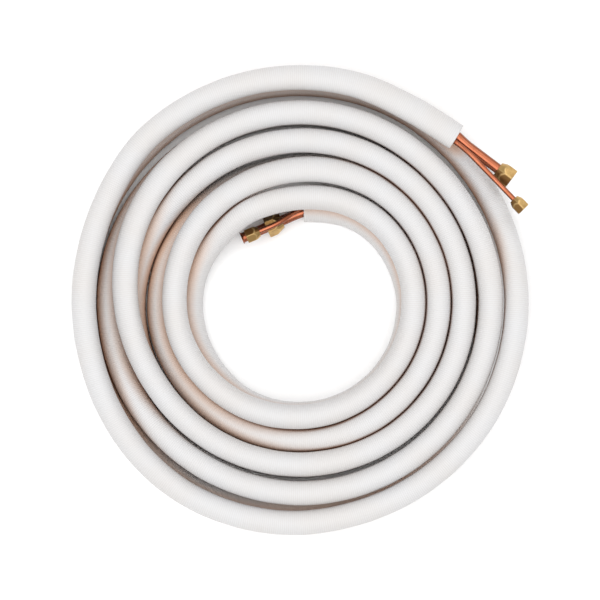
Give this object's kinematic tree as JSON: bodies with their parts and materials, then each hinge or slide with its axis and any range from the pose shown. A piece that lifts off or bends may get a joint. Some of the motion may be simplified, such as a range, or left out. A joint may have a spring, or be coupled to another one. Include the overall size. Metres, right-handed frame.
{
  "type": "mini split line set",
  "caption": "Insulated copper line set for a split air conditioner, wound flat in a coil, with the suction and liquid pipes in one foam sleeve and brass flare nuts on their ends.",
  "frame": {"origin": "on the floor under the middle of the set's footprint", "axes": "+Z up along the axis of the coil; seen from above, +X points right and +Y points up as in the picture"},
  "size_m": [0.5626, 0.5776, 0.0751],
  "materials": {
    "foam_sleeve": "white polyethylene foam with a fine cross-ribbed film skin",
    "copper": "bright soft-drawn copper",
    "brass": "forged and machined brass"
  },
  "bodies": {
    "coil": {"insulation_sleeve": "foam_sleeve", "suction_pipe": "copper", "liquid_pipe": "copper"},
    "outer_suction_nut": {"outer_suction_nut": "brass"},
    "outer_liquid_nut": {"outer_liquid_nut": "brass"},
    "inner_suction_nut": {"inner_suction_nut": "brass"},
    "inner_liquid_nut": {"inner_liquid_nut": "brass"}
  },
  "joints": [
    {"name": "outer_suction_nut_turn", "type": "hinge", "parent": "coil", "child": "outer_suction_nut", "pos_m": [0.25221, 0.15469, 0.05099], "axis": [0.799, -0.6014, 0], "continuous": true},
    {"name": "outer_liquid_nut_turn", "type": "hinge", "parent": "coil", "child": "outer_liquid_nut", "pos_m": [0.26871, 0.11727, 0.06529], "axis": [0.6947, -0.7193, 0], "continuous": true},
    {"name": "inner_suction_nut_slide", "type": "slide", "parent": "coil", "child": "inner_suction_nut", "axis": [-0.9156, -0.402, 0], "range_m": [0, 0.0455]},
    {"name": "inner_liquid_nut_turn", "type": "hinge", "parent": "coil", "child": "inner_liquid_nut", "pos_m": [-0.05799, 0.08108, 0.03798], "axis": [-0.9212, -0.389, 0], "continuous": true}
  ]
}
